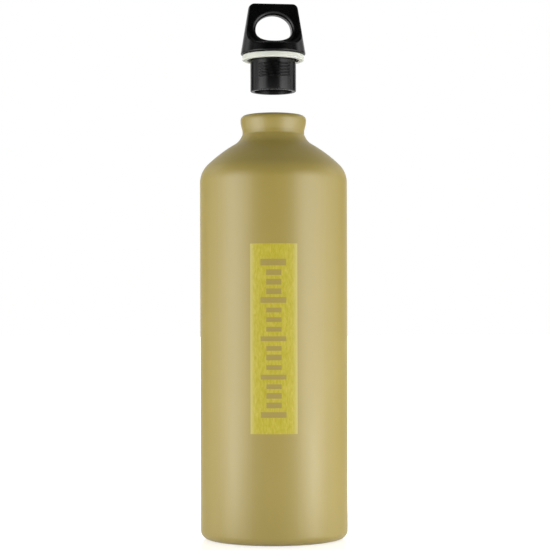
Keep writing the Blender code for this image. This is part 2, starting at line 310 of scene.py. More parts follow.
@dataclass(frozen=True)
class ScreenInk:
    """Opaque screen ink, printed on the round of the bottle over a pale underbase, and dried.

    The squeegee leaves it faintly crinkled, so fine pale hairs run up through it. It dries a little
    glossier than the coat, and the underbase shows as a pale edge at both sides.
    """

    body_radius: float
    width: float
    aside: float
    colour: str = "#B7AA35"
    pale_colour: str = "#C3B54A"
    deep_colour: str = "#AD9F24"
    edge_colour: str = "#BFB362"
    roughness: float = 0.37
    hair: float = 0.9 * MM
    hair_stretch: float = 4.0
    hair_fineness: float = 0.6
    fold: float = 7.0 * MM
    fold_shift: float = 2.5 * MM
    height: float = 0.012 * MM
    edge_width: float = 2.6 * MM

    def make(self) -> Material:
        """Build the material.

        Returns:
            The material.
        """
        finish = Finish("screen_ink")
        fold = finish.noise(self.fold, detail=2.0, output="Color")
        shift = finish.add("ShaderNodeVectorMath", {0: fold, "Scale": self.fold_shift}, operation="SCALE")
        folded = finish.add("ShaderNodeVectorMath", (finish.where, shift), operation="ADD")
        drawn = finish.stretched(folded, self.hair_stretch)
        hairs = finish.noise(self.hair, detail=4.0, Vector=drawn, Roughness=self.hair_fineness)
        tone = finish.node("ShaderNodeValToRGB", (hairs,))
        points = tone.color_ramp.elements
        points[0].position, points[1].position = NOISE_SPAN
        middle = points.new(sum(NOISE_SPAN) / 2)
        middle.color = linear(self.colour)
        points[0].color, points[2].color = linear(self.deep_colour), linear(self.pale_colour)
        at = finish.node("ShaderNodeSeparateXYZ", (finish.where,)).outputs
        angle = finish.math("ARCTAN2", at["X"], finish.math("MULTIPLY", at["Y"], -1.0))
        across = finish.math("ABSOLUTE", finish.math("MULTIPLY_ADD", angle, self.body_radius, -self.aside))
        half = self.width / 2
        edge = finish.eased(across, (half - self.edge_width, half))
        inputs = {
            "Base Color": finish.mix(edge, tone.outputs[0], linear(self.edge_colour)),
            "Roughness": self.roughness,
            "Normal": finish.bump(hairs, self.height),
        }
        return finish.dress(inputs)


@dataclass(frozen=True)
class TurnedAluminium:
    """Bare aluminium, turned on a lathe.

    The tool leaves fine rings round the axis, which draw the highlights out along the height.
    """

    colour: str = "#D9D9DB"
    roughness: float = 0.28
    feed: float = 0.12 * MM
    rings_per_span: int = 20
    wobble: float = 0.3
    ring_height: float = 0.004 * MM

    def make(self) -> Material:
        """Build the material.

        Returns:
            The material.
        """
        finish = Finish("turned_aluminium")
        span = self.rings_per_span * self.feed
        wave = {"Vector": finish.where, "Scale": 1 / span, "Distortion": self.wobble, "Detail": 1.0}
        rings = finish.add("ShaderNodeTexWave", wave, 1, bands_direction="Z")
        inputs = {
            "Base Color": linear(self.colour),
            "Metallic": 1.0,
            "Roughness": self.roughness,
            "Normal": finish.bump(rings, self.ring_height),
        }
        return finish.dress(inputs)


@dataclass(frozen=True)
class MouldedPolypropylene:
    """Black polypropylene, injection moulded in a lightly blasted tool.

    The blasted texture breaks the shine into a soft grey sheen at the edges, and leaves the faces
    that look at the dark side of the room almost black.
    """

    colour: str = "#050505"
    sheen: float = 0.28
    roughness: float = 0.25
    smoother: float = 0.04
    rougher: float = 0.05
    texture: float = 0.25 * MM
    flow: float = 9.0 * MM
    texture_height: float = 0.006 * MM

    def make(self) -> Material:
        """Build the material.

        Returns:
            The material.
        """
        finish = Finish("black_moulded_polypropylene")
        flow = finish.noise(self.flow, detail=2.0)
        inputs = {
            "Base Color": linear(self.colour),
            "Specular IOR Level": self.sheen,
            "Roughness": finish.uneven(flow, self.roughness, self.smoother, self.rougher),
            "Normal": finish.bump(finish.noise(self.texture, detail=2.0), self.texture_height),
        }
        return finish.dress(inputs)


@dataclass(frozen=True)
class Silicone:
    """Off-white food silicone, pressed in a mould.

    Light goes a little way in, so its edges look soft and milky, and dust dulls the shine.
    """

    colour: str = "#D9DBCF"
    glow: str = "#E6E2CC"
    milkiness: float = 0.25
    depth: float = 0.6 * MM
    roughness: float = 0.5
    cleaner: float = 0.06
    dustier: float = 0.08
    dust: float = 1.5 * MM

    def make(self) -> Material:
        """Build the material.

        Returns:
            The material.
        """
        finish = Finish("off_white_silicone")
        dust = finish.noise(self.dust, detail=4.0)
        inputs = {
            "Base Color": linear(self.colour),
            "Subsurface Weight": self.milkiness,
            "Subsurface Radius": linear(self.glow)[:3],
            "Subsurface Scale": self.depth,
            "Roughness": finish.uneven(dust, self.roughness, self.cleaner, self.dustier),
        }
        return finish.dress(inputs)


class Outline:
    """A path in the (radius, height) half plane, drawn with a pen that has a heading.

    The metal lies to the right of the pen, so a bend to the right wraps round the metal.
    """

    SAG = 0.006 * MM

    def __init__(self, radius: float, height: float, heading: float) -> None:
        """Start the path.

        Args:
            radius: Distance of the first point from the axis.
            height: Height of the first point.
            heading: Direction of the pen, as an angle from the outward direction.
        """
        self.pen = Vector((radius, height))
        self.heading = heading
        self.points = [self.pen.copy()]
        self.outward = [self.left()]
        self.marks: dict[str, int] = {}

    def left(self) -> Vector:
        """Give the direction to the left of the pen, out of the metal."""
        return Vector((-math.sin(self.heading), math.cos(self.heading)))

    def mark(self, name: str) -> None:
        """Name the last point."""
        self.marks[name] = len(self.points) - 1

    def drop(self) -> None:
        """Add the pen's place to the path."""
        self.points.append(self.pen.copy())
        self.outward.append(self.left())

    def run(self, length: float, step: float | None = None) -> None:
        """Go straight on.

        Args:
            length: Length of the run.
            step: Longest distance between two points, if it matters.
        """
        steps = max(1, math.ceil(length / step)) if step else 1
        stride = length / steps * Vector((math.cos(self.heading), math.sin(self.heading)))
        for _ in range(steps):
            self.pen += stride
            self.drop()

    def bend(self, radius: float, angle: float) -> None:
        """Follow an arc.

        Args:
            radius: Radius of the arc.
            angle: Turn of the pen, to the left for a positive angle.
        """
        side = math.copysign(1, angle)
        centre = self.pen + side * radius * self.left()
        steps = max(2, math.ceil(abs(angle) / (2 * math.acos(radius / (radius + self.SAG)))))
        for _ in range(steps):
            self.heading += angle / steps
            self.pen = centre - side * radius * self.left()
            self.drop()

    def inside(self, depth: float, first: str | None = None, last: str | None = None) -> list[Vector]:
        """Give the points between two marks, moved into the metal.

        Args:
            depth: How far the points move.
            first: Name of the first point, or None for the start.
            last: Name of the last point, or None for the end.

        Returns:
            The moved points.
        """
        start = self.marks[first] if first else 0
        end = self.marks[last] + 1 if last else len(self.points)
        pairs = zip(self.points[start:end], self.outward[start:end])
        return [point - depth * outward for point, outward in pairs]


@dataclass(frozen=True)
class Thread:
    """The right-hand screw thread that the stopper and the ring in the neck share."""

    pitch: float = 1.6 * MM
    depth: float = 0.75 * MM
    crest: float = 0.3 * MM
    flank_angle: float = math.radians(30.0)
    turns: int = 5
    radial_play: float = 0.3 * MM
    axial_play: float = 0.18 * MM
    sector: float = math.radians(46.0)
    fade: float = math.radians(7.0)

    def flank_run(self, depth: float) -> float:
        """Give how far a flank runs along the axis over a depth."""
        return depth * math.tan(self.flank_angle)


@dataclass(frozen=True)
class Neck:
    """Sizes of the mouth, the stopper and the play between them, which several pieces follow."""

    bottle_height: float = 229.8 * MM
    wall: float = 1.0 * MM
    plug_radius: float = 12.45 * MM
    below_flange: float = 5.0 * MM
    mouth_play: float = 0.4 * MM
    gap: float = 0.3 * MM
    rest_turns: float = 18.5
    seal_slip: float = 0.65 * MM
    seal_width: float = 2.95 * MM
    seal_height: float = 3.0 * MM
    flange_margin: float = 0.95 * MM
    yaw: float = math.radians(7.0)
    thread: Thread = Thread()

    @property
    def crest_radius(self) -> float:
        """Outer radius of the stopper's thread."""
        return self.plug_radius + self.thread.depth

    @property
    def mouth_radius(self) -> float:
        """Radius of the opening between the rolled lip's ends."""
        return self.crest_radius + self.mouth_play

    @property
    def seal_bore(self) -> float:
        """Inner radius of the seal."""
        return self.crest_radius + self.seal_slip

    @property
    def flange_radius(self) -> float:
        """Outer radius of the stopper's flange."""
        return self.seal_bore + self.seal_width + self.flange_margin

    @property
    def seal_place(self) -> float:
        """Height of the seal's underside while the stopper is held above the neck."""
        return self.bottle_height + self.gap + self.rest_turns * self.thread.pitch

    @property
    def flange_place(self) -> float:
        """Height of the flange's underside while the stopper is held above the neck."""
        return self.seal_place + self.seal_height + self.gap

    @property
    def thread_origin(self) -> float:
        """Height of the stopper's thread at its right-hand side, below the flange."""
        return -(self.below_flange + self.thread.pitch / 2)


class Growth(Nodes):
    """A Geometry Nodes tree that is being built, from one input geometry to one finished piece."""

    def __init__(self, name: str, **inputs: tuple[str, ...]) -> None:
        """Start the tree.

        Args:
            name: The tree's name.
            inputs: Names of its inputs by their kind.
        """
        super().__init__(bpy.data.node_groups.new(name, "GeometryNodeTree"))
        faces = self.tree.interface
        for kind, names in inputs.items():
            for item in names:
                faces.new_socket(item, in_out="INPUT", socket_type=f"NodeSocket{kind}")
        faces.new_socket("Piece", in_out="OUTPUT", socket_type="NodeSocketGeometry")
        self.given = self.node("NodeGroupInput").outputs

    def close(self, geometry: Socket) -> Socket:
        """Weld a bent sheet's seams, smooth it and give it its finish.

        Args:
            geometry: The bent sheet.

        Returns:
            The socket with the closed piece.
        """
        closed = self.add("GeometryNodeMergeByDistance", {"Geometry": geometry, "Distance": WELD})
        smooth = self.add("GeometryNodeSetShadeSmooth", (closed,))
        real = self.add("GeometryNodeRealizeInstances", (smooth,))
        return self.add("GeometryNodeSetMaterial", {"Geometry": real, "Material": self.given["finish"]})

    def run(self, name: str, mesh: bpy.types.Mesh, values: dict[str, Any]) -> bpy.types.Object:
        """Run the tree on a mesh and keep the result as a plain mesh.

        Args:
            name: The piece's name.
            mesh: The input geometry.
            values: The tree's other inputs by name.

        Returns:
            The piece, with the grown mesh and no modifier.
        """
        obj = add_object(name, mesh)
        modifier = obj.modifiers.new(self.tree.name, "NODES")
        modifier.node_group = self.tree
        for item in self.tree.interface.items_tree:
            if item.item_type == "SOCKET" and item.in_out == "INPUT" and item.name in values:
                modifier[item.identifier] = values[item.name]
        depsgraph = bpy.context.evaluated_depsgraph_get()
        mesh = bpy.data.meshes.new_from_object(obj.evaluated_get(depsgraph), depsgraph=depsgraph)
        obj.modifiers.remove(modifier)
        obj.data = mesh
        mesh.set_sharp_from_angle(angle=CREASE_ANGLE)
        return obj


class Lathe(Growth):
    """A Geometry Nodes tree that spins a profile round the Z axis and raises thread ridges on it."""

    PLAIN = {"yaw": 0.0, "lift": 0.0}
    RIDGE = {"pitch": 1.0, "depth": 0.0, "crest_half": 0.1, "root_half": 0.2, "run_out": 1.0}
    ZONE = {"origin": 0.0, "low": 0.0, "high": 0.0, "sector": FULL_TURN, "sector_fade": 1.0}
    SIZES = {**PLAIN, **RIDGE, **ZONE}
    INNER_FROM = 0.99

    def __init__(self, flank: Flank) -> None:
        """Build the tree.

        Args:
            flank: How the flanks of the thread run from root to crest.
        """
        super().__init__(
            f"lathe_{flank.name.lower()}",
            Geometry=("profile",),
            Int=("segments",),
            Float=tuple(self.SIZES),
            Material=("finish", "inner_finish"),
        )
        self.flank = flank
        self._grow()

    def _relief(self, angle: Socket, height: Socket) -> Socket:
        """Work out how high the thread stands at a point.

        Args:
            angle: The point's angle round the axis, from minus to plus half a turn.
            height: The point's height in the profile.

        Returns:
            The socket with the thread's height there.
        """
        given, step, pitch = self.given, self.math, self.given["pitch"]
        climb = step("DIVIDE", step("SUBTRACT", height, given["origin"]), pitch)
        turn = step("SUBTRACT", climb, step("DIVIDE", angle, FULL_TURN))
        off = step("SUBTRACT", turn, step("ROUND", turn))
        away = step("MULTIPLY", step("ABSOLUTE", off), pitch)
        ridge = self.ramp(away, (given["root_half"], given["crest_half"]), curve=self.flank.value)
        middle = step("SUBTRACT", height, step("MULTIPLY", off, pitch))
        low, high, fade = given["low"], given["high"], given["run_out"]
        begins = self.eased(middle, (low, step("ADD", low, fade)))
        ends = self.eased(middle, (high, step("SUBTRACT", high, fade)))
        aside = step("ABSOLUTE", step("SUBTRACT", step("ABSOLUTE", angle), QUARTER))
        edge = given["sector"]
        near = self.eased(aside, (edge, step("SUBTRACT", edge, given["sector_fade"])))
        shown = step("MULTIPLY", step("MULTIPLY", begins, ends), near)
        return step("MULTIPLY", step("MULTIPLY", ridge, shown), given["depth"])

    def _named(self, name: str) -> Socket:
        """Give a value that every point carries under a name."""
        return self.add("GeometryNodeInputNamedAttribute", {"Name": name}, data_type="FLOAT")

    def _sample(self, value: Socket, row: Socket, kind: str) -> Socket:
        """Give the value that a point of the profile has."""
        inputs = {"Geometry": self.given["profile"], "Value": value, "Index": row}
        return self.add("GeometryNodeSampleIndex", inputs, data_type=kind)

    def _grow(self) -> None:
        """Lay a grid over the profile and the turn, bend it into place and close it."""
        given, step = self.given, self.math
        count = self.add("GeometryNodeAttributeDomainSize", (given["profile"],), "Point Count")
        columns = self.add("FunctionNodeIntegerMath", (given["segments"], 1), operation="ADD")
        grid = self.add("GeometryNodeMeshGrid", {"Vertices X": count, "Vertices Y": columns}, "Mesh")
        index = self.add("GeometryNodeInputIndex")
        row = self.add("FunctionNodeIntegerMath", (index, columns), operation="DIVIDE_FLOOR")
        column = self.add("FunctionNodeIntegerMath", (index, columns), operation="MODULO")
        point = self._sample(self.add("GeometryNodeInputPosition"), row, "FLOAT_VECTOR")
        threaded, inner = (self._sample(self._named(name), row, "FLOAT") for name in ("threaded", "inner"))
        profile = self.node("ShaderNodeSeparateXYZ", (point,)).outputs
        angle = step("MULTIPLY_ADD", step("DIVIDE", column, given["segments"]), FULL_TURN, -math.pi)
        radius = step("MULTIPLY_ADD", self._relief(angle, profile["Z"]), threaded, profile["X"])
        turned = step("ADD", angle, given["yaw"])
        spot = (
            step("MULTIPLY", radius, step("COSINE", turned)),
            step("MULTIPLY", radius, step("SINE", turned)),
            step("ADD", profile["Z"], given["lift"]),
        )
        stored = {"Geometry": grid, "Name": "inner_side", "Value": inner}
        marked = self.add("GeometryNodeStoreNamedAttribute", stored, data_type="FLOAT", domain="POINT")
        placed = {"Geometry": marked, "Position": self.add("ShaderNodeCombineXYZ", spot)}
        outer = self.close(self.add("GeometryNodeSetPosition", placed))
        sides = {0: self._named("inner_side"), 1: self.INNER_FROM}
        inside = self.add("FunctionNodeCompare", sides, data_type="FLOAT", operation="GREATER_THAN")
        lined = {"Geometry": outer, "Selection": inside, "Material": given["inner_finish"]}
        self.node("NodeGroupOutput", (self.add("GeometryNodeSetMaterial", lined),))

    def turn(
        self,
        name: str,
        points: list[Vector],
        segments: int,
        finish: Material,
        inner_finish: Material | None = None,
        inner_from: int | None = None,
        threaded: Callable[[Vector], bool] | None = None,
        **sizes: float,
    ) -> bpy.types.Object:
        """Turn a piece from its profile.

        Args:
            name: The piece's name.
            points: The profile's points, (radius, height), with the metal to the right.
            segments: How many steps make a full turn.
            finish: The material.
            inner_finish: The material of the profile's later part, if it has its own.
            inner_from: Index of the point from which the inner finish starts.
            threaded: Tells which points may carry the thread.
            sizes: Other inputs of the tree by name.

        Returns:
            The turned piece as a plain mesh object.
        """
        mesh = bpy.data.meshes.new(name)
        edges = [(i, i + 1) for i in range(len(points) - 1)]
        mesh.from_pydata([(point[0], 0.0, point[1]) for point in points], edges, [])
        split = len(points) if inner_from is None else inner_from
        flags = {
            "inner": [float(i >= split) for i in range(len(points))],
            "threaded": [float(bool(threaded and threaded(point))) for point in points],
        }
        for flag, values in flags.items():
            mesh.attributes.new(flag, "FLOAT", "POINT").data.foreach_set("value", values)
        values = {"segments": segments, "finish": finish, "inner_finish": inner_finish or finish}
        return self.run(name, mesh, {**self.SIZES, **values, **sizes})


@dataclass
class TurnedPiece:
    """What each turned piece is made from: the sizes that it shares, a lathe and its outer finish."""

    neck: Neck
    lathe: Lathe
    finish: Material


@dataclass
class BottleShell(TurnedPiece):
    """The drawn shell: domed base, straight wall, shoulder, waist and a lip rolled in at the mouth."""

    lacquer: Material
    body_radius: float = 40.0 * MM
    base_bend: float = 3.4 * MM
    foot_width: float = 3.0 * MM
    foot_bend: float = 2.0 * MM
    dome_angle: float = math.radians(20.0)
    shoulder_round: float = 13.5 * MM
    shoulder_low_angle: float = math.radians(45.8)
    shoulder_high_angle: float = math.radians(59.9)
    neck_sweep: float = 9.3 * MM
    cone_angle: float = math.radians(27.0)
    cone_length: float = 1.45 * MM
    waist_sweep: float = 1.5 * MM
    waist_height: float = 1.4 * MM
    lip_overhang: float = 1.05 * MM
    lip_flare_angle: float = math.radians(15.0)
    lip_barrel: float = 13.0 * MM
    lip_sweep: float = 3.0 * MM
    lip_outer_bend: float = 1.65 * MM
    lip_inner_bend: float = 0.5 * MM
    crown_flat: float = 0.1 * MM
    lip_leg: float = 0.9 * MM
    wall_row: float = 4.0 * MM
    segments: int = 240

    def outline(self) -> Outline:
        """Draw the outer skin, from the end of the rolled lip to the middle of the base.

        Returns:
            The path, with its crown and its waist marked.
        """
        wall = self.neck.wall
        inner_bend = self.lip_inner_bend + wall
        path = Outline(self.neck.mouth_radius, self.neck.bottle_height - inner_bend - self.lip_leg, QUARTER)
        path.run(self.lip_leg)
        path.bend(inner_bend, -QUARTER)
        path.mark("crown")
        path.run(self.crown_flat)
        path.bend(self.lip_outer_bend + wall, -QUARTER)
        path.bend(self.lip_barrel, -self.lip_flare_angle)
        rounds = (self.lip_barrel + self.lip_sweep) * (1 - math.cos(self.lip_flare_angle))
        path.run((self.lip_overhang - rounds) / math.sin(self.lip_flare_angle))
        path.bend(self.lip_sweep, self.lip_flare_angle)
        path.run(self.waist_height)
        path.mark("waist")
        path.bend(self.waist_sweep, self.cone_angle)
        path.run(self.cone_length)
        path.bend(self.neck_sweep, self.shoulder_high_angle - self.cone_angle)
        reach = self.shoulder_round * (1 - math.cos(self.shoulder_low_angle))
        crowned = self.body_radius - reach - path.pen.x
        drop = math.cos(self.shoulder_low_angle) - math.cos(self.shoulder_high_angle)
        path.bend(crowned / drop, self.shoulder_low_angle - self.shoulder_high_angle)
        path.bend(self.shoulder_round, -self.shoulder_low_angle)
        path.run(path.pen.y - self.base_bend - wall, step=self.wall_row)
        path.bend(self.base_bend + wall, -QUARTER)
        path.run(self.foot_width)
        path.bend(self.foot_bend + wall, -self.dome_angle)
        path.bend(path.pen.x / math.sin(self.dome_angle), self.dome_angle)
        path.points[-1].x = 0.0
        return path

    def build(self) -> None:
        """Turn the shell and hand it over."""
        path = self.outline()
        inner = path.inside(self.neck.wall)[::-1]
        points, split = path.points + inner + path.points[:1], len(path.points)
        shell = self.lathe.turn("painted_shell", points, self.segments, self.finish, self.lacquer, split)
        hand_over(shell, Body.BOTTLE, ("bottle_shell",))


@dataclass
class PrintedPanel:
    """The yellow panel printed on the front, with a plain scale of bars left out of the ink."""

    BAR_SIZES = ("bar_pitch", "bar_height", "bar_width", "long_bar_width")

    body_radius: float
    width: float = 25.0 * MM
    height: float = 99.7 * MM
    foot: float = 58.8 * MM
    aside: float = 0.05 * MM
    cell: float = 0.5 * MM
    sunk: float = 0.02 * MM
    proud: float = 0.03 * MM
    bar_pitch: float = 5.0 * MM
    bar_height: float = 3.0 * MM
    bar_width: float = 8.5 * MM
    long_bar_width: float = 13.5 * MM
    bars: int = 17
    long_every: int = 4

    def grown(self) -> Growth:
        """Build the tree that lays the ink on the round of the bottle.

        Returns:
            The Geometry Nodes tree.
        """
        growth = Growth(
            "printed_panel",
            Geometry=("sheet",),
            Float=("radius", "turn", "middle", "thickness", *self.BAR_SIZES),
            Int=("bars", "long_every"),
            Material=("finish",),
        )
        given, step = growth.given, growth.math
        at = growth.node("ShaderNodeSeparateXYZ", (growth.add("GeometryNodeInputPosition"),)).outputs
        middle = step("MULTIPLY", given["bars"], 0.5)
        climb = step("ADD", step("DIVIDE", at["Y"], given["bar_pitch"]), middle)
        inside = step("COMPARE", climb, middle, middle)
        off = step("MULTIPLY", step("SUBTRACT", step("FRACT", climb), 0.5), given["bar_pitch"])
        level = step("LESS_THAN", step("ABSOLUTE", off), step("MULTIPLY", given["bar_height"], 0.5))
        short = step("GREATER_THAN", step("MODULO", step("FLOOR", climb), given["long_every"]), 0.5)
        extra = step("SUBTRACT", given["bar_width"], given["long_bar_width"])
        wide = step("MULTIPLY_ADD", short, extra, given["long_bar_width"])
        across = step("LESS_THAN", step("ABSOLUTE", at["X"]), step("MULTIPLY", wide, 0.5))
        bare = step("MULTIPLY", step("MULTIPLY", level, across), inside)
        cut = {"Geometry": given["sheet"], "Selection": bare}
        inked = growth.add("GeometryNodeDeleteGeometry", cut, domain="FACE")
        angle = step("ADD", step("DIVIDE", at["X"], given["radius"]), given["turn"])
        spot = (
            step("MULTIPLY", given["radius"], step("SINE", angle)),
            step("MULTIPLY", given["radius"], step("MULTIPLY", step("COSINE", angle), -1.0)),
            step("ADD", at["Y"], given["middle"]),
        )
        placed = {"Geometry": inked, "Position": growth.add("ShaderNodeCombineXYZ", spot)}
        bent = growth.add("GeometryNodeSetPosition", placed)
        raising = {"Mesh": bent, "Offset Scale": given["thickness"], "Individual": False}
        raised = growth.add("GeometryNodeExtrudeMesh", raising)
        both = growth.node("GeometryNodeJoinGeometry", (raised,))
        growth.tree.links.new(growth.add("GeometryNodeFlipFaces", (bent,)), both.inputs[0])
        growth.node("NodeGroupOutput", (growth.close(both.outputs[0]),))
        return growth

    def build(self, ink: Material) -> None:
        """Lay the panel and hand it over.

        Args:
            ink: The panel's finish.
        """
        columns, rows = round(self.width / self.cell), round(self.height / self.cell)
        mesh = bpy.data.meshes.new("printed_panel")
        spots = [
            ((i - columns / 2) * self.cell, (j - rows / 2) * self.cell, 0.0)
            for i in range(columns + 1)
            for j in range(rows + 1)
        ]
        starts = [i * (rows + 1) + j for i, j in itertools.product(range(columns), range(rows))]
        quads = [(start, start + rows + 1, start + rows + 2, start + 1) for start in starts]
        mesh.from_pydata(spots, [], quads)
        values = {
            **vars(self),
            "radius": self.body_radius - self.sunk,
            "turn": self.aside / self.body_radius,
            "middle": self.foot + self.height / 2,
            "thickness": self.sunk + self.proud,
            "finish": ink,
        }
        hand_over(self.grown().run("printed_panel", mesh, values), Body.BOTTLE, ())


@dataclass
class ThreadInsert(TurnedPiece):
    """The turned ring with the female thread, held in the neck between the waist and the rolled lip."""

    shell: BottleShell
    tail: float = 1.0 * MM
    chamfer: float = 0.4 * MM
    row: float = 0.08 * MM
    run_out: float = 0.09 * MM
    segments: int = 180

    def build(self) -> None:
        """Turn the ring and hand it over."""
        neck, thread, shell = self.neck, self.neck.thread, self.shell
        outer = shell.outline().inside(neck.wall + neck.gap, "crown", "waist")
        leg_end = neck.bottle_height - shell.lip_inner_bend - neck.wall - shell.lip_leg - neck.gap
        hook = neck.mouth_radius + neck.wall + neck.gap
        bore = neck.crest_radius + thread.radial_play
        bottom = outer[-1].y - self.tail
        path = Outline(bore, bottom + self.chamfer, QUARTER)
        path.run(leg_end - bottom - 2 * self.chamfer, step=self.row)
        corner = [Vector((hook, leg_end)), Vector((hook, outer[0].y - (outer[0].x - hook)))]
        points = path.points + [Vector((bore + self.chamfer, leg_end))] + corner + outer
        points += [Vector((outer[-1].x, bottom)), Vector((bore + self.chamfer, bottom)), path.points[0]]
        male_origin = neck.flange_place + neck.thread_origin
        origin = male_origin - thread.pitch * neck.yaw / FULL_TURN + thread.pitch / 2
        male_half = thread.crest / 2 + thread.flank_run(thread.depth - thread.radial_play)
        crest_half = thread.pitch / 2 - male_half - thread.axial_play
        root_half = crest_half + thread.flank_run(thread.depth)
        ring = self.lathe.turn(
            "neck_thread_ring",
            points,
            self.segments,
            self.finish,
            threaded=lambda point: point.x < bore + WELD,
            pitch=thread.pitch,
            depth=-thread.depth,
            crest_half=crest_half,
            root_half=root_half,
            run_out=self.run_out,
            origin=origin,
            low=bottom + self.chamfer + root_half,
            high=leg_end - self.chamfer - root_half,
        )
        hand_over(ring, Body.BOTTLE, ("thread_insert",))


@dataclass
class SealRing(TurnedPiece):
    """The washer under the stopper's flange, moulded with rounded edges."""

    edge: float = 0.5 * MM
    segments: int = 180

    def build(self) -> None:
        """Turn the washer and hand it over."""
        neck = self.neck
        path = Outline(neck.seal_bore + neck.seal_width / 2, neck.seal_height, 0.0)
        flat, wall = neck.seal_width - 2 * self.edge, neck.seal_height - 2 * self.edge
        path.run(flat / 2)
        for length in (wall, flat, wall, flat / 2):
            path.bend(self.edge, -QUARTER)
            path.run(length)
        seal = self.lathe.turn(
            "seal_washer", path.points, self.segments, self.finish, lift=neck.seal_place
        )
        hand_over(seal, Body.SEAL, ("seal_ring",))


@dataclass
class StopperPlug(TurnedPiece):
    """The hollow plug below the stopper's flange, with its two sectors of thread ridges."""

    wall: float = 2.15 * MM
    length: float = 20.2 * MM
    floor: float = 3.0 * MM
    edge: float = 0.6 * MM
    mouth_edge: float = 0.35 * MM
    roof_bend: float = 1.5 * MM
    row: float = 0.08 * MM
    run_out: float = 0.1 * MM
    segments: int = 300

    def build(self) -> None:
        """Turn the plug and hand it over."""
        neck, thread = self.neck, self.neck.thread
        zone = neck.below_flange + (thread.turns + 1) * thread.pitch
        path = Outline(0.0, 0.0, 0.0)
        path.run(neck.plug_radius)
        path.heading = -QUARTER
        path.run(neck.below_flange - 2 * thread.pitch)
        path.run(zone - (neck.below_flange - 2 * thread.pitch), step=self.row)
        path.run(self.length - self.edge - zone)
        path.bend(self.edge, -QUARTER)
        path.run(self.wall - self.edge - self.mouth_edge)
        path.bend(self.mouth_edge, -QUARTER)
        path.run(self.length - self.floor - self.mouth_edge - self.roof_bend)
        path.bend(self.roof_bend, QUARTER)
        path.run(path.pen.x)
        path.points[-1].x = 0.0
        crest_half = thread.crest / 2
        plug = self.lathe.turn(
            "stopper_plug",
            path.points,
            self.segments,
            self.finish,
            threaded=lambda point: point.x > neck.plug_radius - WELD and point.y > -zone,
            yaw=neck.yaw,
            lift=neck.flange_place,
            pitch=thread.pitch,
            depth=thread.depth,
            crest_half=crest_half,
            root_half=crest_half + thread.flank_run(thread.depth),
            run_out=self.run_out,
            origin=neck.thread_origin,
            low=neck.thread_origin - (thread.turns - 0.5) * thread.pitch,
            high=neck.thread_origin + thread.pitch / 2,
            sector=thread.sector,
            sector_fade=thread.fade,
        )
        hand_over(plug, Body.STOPPER, ())


def rounded(first: np.ndarray, second: np.ndarray, radius: float, cosine: float = 0.0) -> np.ndarray:
    """Meet two half spaces in a rounded edge.

    Args:
        first: Distance to the first face, negative inside.
        second: Distance to the second face, negative inside.
        radius: Radius of the rounded edge.
        cosine: Cosine of the angle between the two faces' normals.

    Returns:
        The distance to their common part.
    """
    a, b = first + radius, second + radius
    square = 1 - cosine * cosine
    beyond = (a > cosine * b) & (b > cosine * a)
    corner = np.sqrt(np.maximum(a * a + b * b - 2 * cosine * a * b, 0.0) / square)
    return np.where(beyond, corner, np.maximum(a, b)) - radius


def surface_net(distance: Callable, axes: list[np.ndarray]) -> tuple[np.ndarray, np.ndarray]:
    """Turn the surface of a distance function into quads.

    Each cell of the grid that the surface passes through gets one point, and each edge of the grid
    that it crosses gets one quad between the four cells round that edge. The points are then moved
    along the slope of the function until they lie on the surface.

    Args:
        distance: Gives the distance at arrays of x, y and z, negative inside.
        axes: The grid's places along x, y and z.

    Returns:
        The points, and the quads as rows of four point indices.
    """
    grid = np.meshgrid(*axes, indexing="ij")
    values = distance(*grid)
    inside = values < 0.0
    cells = tuple(len(axis) - 1 for axis in axes)

    def corner(array: np.ndarray, offset: tuple[int, int, int]) -> np.ndarray:
        """Give the array's value at one corner of every cell."""
        return array[tuple(slice(start, start + size) for start, size in zip(offset, cells))]

    total, count = np.zeros((3, *cells)), np.zeros(cells)
    for start in itertools.product((0, 1), repeat=3):
        for axis in (axis for axis in range(3) if not start[axis]):
            end = tuple(1 if i == axis else start[i] for i in range(3))
            near, far = corner(values, start), corner(values, end)
            crossed = (near < 0.0) != (far < 0.0)
            share = near / np.where(crossed, near - far, 1.0)
            for i in range(3):
                first, last = corner(grid[i], start), corner(grid[i], end)
                total[i] += crossed * (first + share * (last - first))
            count += crossed
    used = count > 0
    index = np.full(cells, -1)
    index[used] = np.arange(used.sum())
    points = (total[:, used] / count[used]).T

    quads = []
    for axis in range(3):
        order = [(axis + i) % 3 for i in range(3)]
        near, slots = inside.transpose(order), index.transpose(order)
        low, high = near[:-1, 1:-1, 1:-1], near[1:, 1:-1, 1:-1]
        around = (slots[:, :-1, :-1], slots[:, 1:, :-1], slots[:, 1:, 1:], slots[:, :-1, 1:])
        around = np.stack(around, axis=-1)
        quads += [around[low & ~high], around[~low & high][:, ::-1]]
    quads = np.concatenate(quads)

    probe, rounds, least_steepness = 0.01 * MM, 4, 0.25
    for _ in range(rounds):
        slope = np.stack(
            [
                (distance(*(points + push).T) - distance(*(points - push).T)) / (2 * probe)
                for push in probe * np.eye(3)
            ],
            axis=-1,
        )
        steep = np.maximum((slope * slope).sum(axis=1), least_steepness)
        points = points - slope * (distance(*points.T) / steep)[:, None]
    return points, quads


